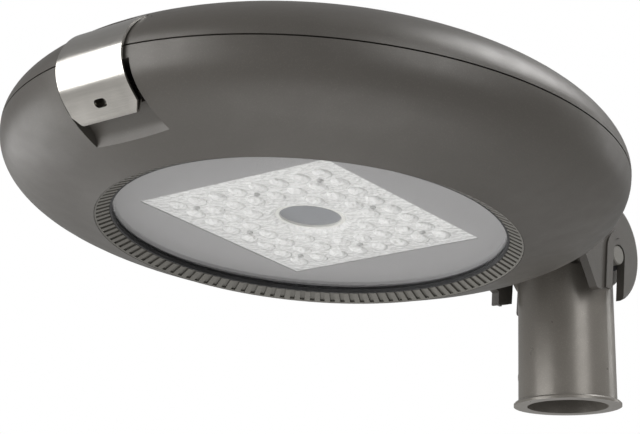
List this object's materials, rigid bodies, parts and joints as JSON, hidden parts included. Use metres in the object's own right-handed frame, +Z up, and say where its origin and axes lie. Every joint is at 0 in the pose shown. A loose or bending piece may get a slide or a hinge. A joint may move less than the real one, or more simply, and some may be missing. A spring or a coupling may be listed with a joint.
{
  "type": "pole-top area light",
  "caption": "Round flat LED area light that tilts on a pole spigot, with a ribbed glass frame below and a strap latch that lets the lower housing swing down.",
  "frame": {"origin": "on the pole's axis, at the lower face of the spigot's foot flange", "axes": "+Z up along the pole; -Y out over the ground, toward the latch; +X to the right for a person who faces +Y"},
  "size_m": [0.4132, 0.544, 0.1891],
  "materials": {
    "casting": "powder coat, dark bronze grey, fine satin",
    "spigot_casting": "powder coat, dark bronze grey, fine satin",
    "frame_casting": "powder coat, satin, ribbed face",
    "stainless": "satin",
    "coated_steel": "dark bronze-grey coat, satin",
    "strap_steel": "polished sheet",
    "screw_steel": "zinc plated",
    "spreader": "mill finish",
    "tray_steel": "galvanised sheet",
    "mask_sheet": "grey satin paint",
    "glass": "clear, toughened",
    "rubber_black": "matt",
    "lens_plastic": "clear moulding over a white board",
    "board_white": "white solder mask",
    "phosphor": "yellow phosphor",
    "driver_case": "white case",
    "block_plastic": "cream thermoplastic",
    "black_plastic": "matt nylon",
    "cable_jacket": "black jacket"
  },
  "bodies": {
    "spigot": {"spigot_sleeve": "spigot_casting", "pole_set_screws": "stainless", "pivot_pin": "coated_steel", "pivot_bushes": "black_plastic", "spigot_grommet": "rubber_black"},
    "head": {"canopy": "casting", "tilt_lock_bolt": "stainless", "tilt_lock_spacers": "screw_steel", "hinge_pins": "stainless", "latch_pin": "stainless", "gear_tray": "tray_steel", "tray_screws": "screw_steel", "led_driver": "driver_case", "terminal_block": "block_plastic", "surge_protector": "black_plastic", "cable_clamp": "block_plastic", "cable_gland": "black_plastic", "gland_nut": "black_plastic", "vent_plug": "black_plastic", "supply_lead": "cable_jacket", "gear_leads": "cable_jacket"},
    "door": {"lower_housing": "casting", "housing_gasket": "rubber_black", "lens_frame": "frame_casting", "frame_screws": "screw_steel", "glass_lens": "glass", "glass_gasket": "rubber_black", "light_mask": "mask_sheet", "lens_array": "lens_plastic", "led_board": "board_white", "led_chips": "phosphor", "module_screws": "screw_steel", "heat_spreader": "spreader", "spreader_screws": "screw_steel", "led_socket": "block_plastic", "latch_catch": "stainless", "catch_screws": "screw_steel"},
    "latch": {"latch_strap": "strap_steel"}
  },
  "joints": [
    {"name": "head_tilt", "type": "hinge", "parent": "spigot", "child": "head", "pos_m": [0, 0, 0.11], "axis": [-1, 0, 0], "range_deg": [-6.5, 8.5]},
    {"name": "door_hinge", "type": "hinge", "parent": "head", "child": "door", "pos_m": [0, -0.08309, 0.09451], "axis": [1, 0, 0], "range_deg": [0, 70]},
    {"name": "latch_hinge", "type": "hinge", "parent": "head", "child": "latch", "pos_m": [0, -0.4838, 0.1613], "axis": [-1, 0, 0], "range_deg": [0, 100]}
  ]
}
